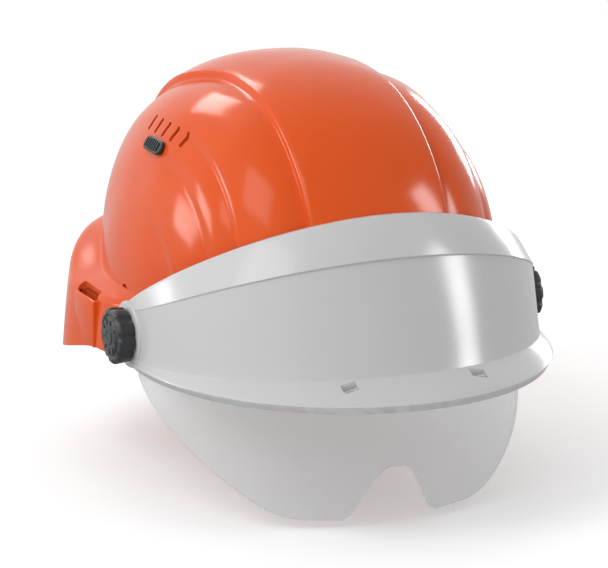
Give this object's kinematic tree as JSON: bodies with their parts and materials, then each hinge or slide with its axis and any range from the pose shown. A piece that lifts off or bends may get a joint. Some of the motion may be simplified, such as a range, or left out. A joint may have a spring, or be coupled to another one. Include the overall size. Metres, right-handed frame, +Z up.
{
  "type": "hard hat",
  "caption": "Vented industrial hard hat with a brow cover, a clear lens that tilts up behind it, temple clamp knobs and a ratchet headband.",
  "frame": {"origin": "on the plane of symmetry, at the level of the headband's lower edge and under the middle of the dome: where a head meets the harness", "axes": "+Z up, -Y towards the wearer's face, +X towards the wearer's left"},
  "size_m": [0.2586, 0.3286, 0.2305],
  "materials": {
    "shell_abs": "gloss orange moulded ABS",
    "cover_abs": "gloss light grey-white moulded ABS",
    "lens_polycarbonate": "clear polished polycarbonate",
    "black_nylon": "semi-gloss moulded nylon",
    "zinc_steel": "zinc plated",
    "pad_fabric": "perforated soft brow fabric",
    "webbing": "woven polyester webbing",
    "grey_nylon": "satin moulded nylon",
    "harness_plastic": "satin moulded polyethylene"
  },
  "bodies": {
    "helmet": {"brow_pad": "pad_fabric", "clamp_nut_left": "zinc_steel", "clamp_nut_right": "zinc_steel", "cover_catch_left": "cover_abs", "cover_catch_right": "cover_abs", "cradle_strap_left": "webbing", "cradle_strap_middle": "webbing", "cradle_strap_right": "webbing", "crown_patch": "webbing", "friction_washer_left": "black_nylon", "friction_washer_right": "black_nylon", "hanger_front_left": "harness_plastic", "hanger_front_right": "harness_plastic", "hanger_rear_left": "harness_plastic", "hanger_rear_right": "harness_plastic", "hanger_side_left": "harness_plastic", "hanger_side_right": "harness_plastic", "headband": "harness_plastic", "nape_cover": "harness_plastic", "nape_housing": "harness_plastic", "nape_pad": "pad_fabric", "nape_screws": "zinc_steel", "shell": "shell_abs", "visor_cover": "cover_abs"},
    "lens": {"lens": "lens_polycarbonate"},
    "knob_left": {"clamp_knob_left": "black_nylon"},
    "knob_right": {"clamp_knob_right": "black_nylon"},
    "vent_left": {"vent_slider_left": "black_nylon", "vent_shutter_left": "black_nylon"},
    "vent_right": {"vent_slider_right": "black_nylon", "vent_shutter_right": "black_nylon"},
    "ratchet": {"ratchet_knob": "grey_nylon", "ratchet_pinion": "grey_nylon"},
    "rack_left": {"nape_rack_left": "harness_plastic"},
    "rack_right": {"nape_rack_right": "harness_plastic"}
  },
  "joints": [
    {"name": "lens_tilt", "type": "hinge", "parent": "helmet", "child": "lens", "pos_m": [0, -0.042, 0.015], "axis": [-1, 0, 0], "range_deg": [0, 31]},
    {"name": "knob_turn_left", "type": "hinge", "parent": "helmet", "child": "knob_left", "pos_m": [0.12, -0.042, 0.015], "axis": [1, 0, 0], "range_deg": [0, 180]},
    {"name": "knob_turn_right", "type": "hinge", "parent": "helmet", "child": "knob_right", "pos_m": [-0.12, -0.042, 0.015], "axis": [-1, 0, 0], "range_deg": [0, 180]},
    {"name": "vent_slide_left", "type": "slide", "parent": "helmet", "child": "vent_left", "axis": [0.0006, 1, 0.0037], "range_m": [0, 0.008]},
    {"name": "vent_slide_right", "type": "slide", "parent": "helmet", "child": "vent_right", "axis": [-0.0006, 1, 0.0037], "range_m": [0, 0.008]},
    {"name": "ratchet_turn", "type": "hinge", "parent": "helmet", "child": "ratchet", "pos_m": [0, 0.083, 0.006], "axis": [0, 1, 0], "range_deg": [-68, 68]},
    {"name": "rack_slide_left", "type": "slide", "parent": "helmet", "child": "rack_left", "axis": [1, 0, 0], "range_m": [-0.006, 0.006]},
    {"name": "rack_slide_right", "type": "slide", "parent": "helmet", "child": "rack_right", "axis": [-1, 0, 0], "range_m": [-0.006, 0.006]}
  ],
  "couplings": [
    {"joint": "rack_slide_left", "follows": "ratchet_turn", "m_per_rad": 0.005},
    {"joint": "rack_slide_right", "follows": "ratchet_turn", "m_per_rad": 0.005}
  ]
}
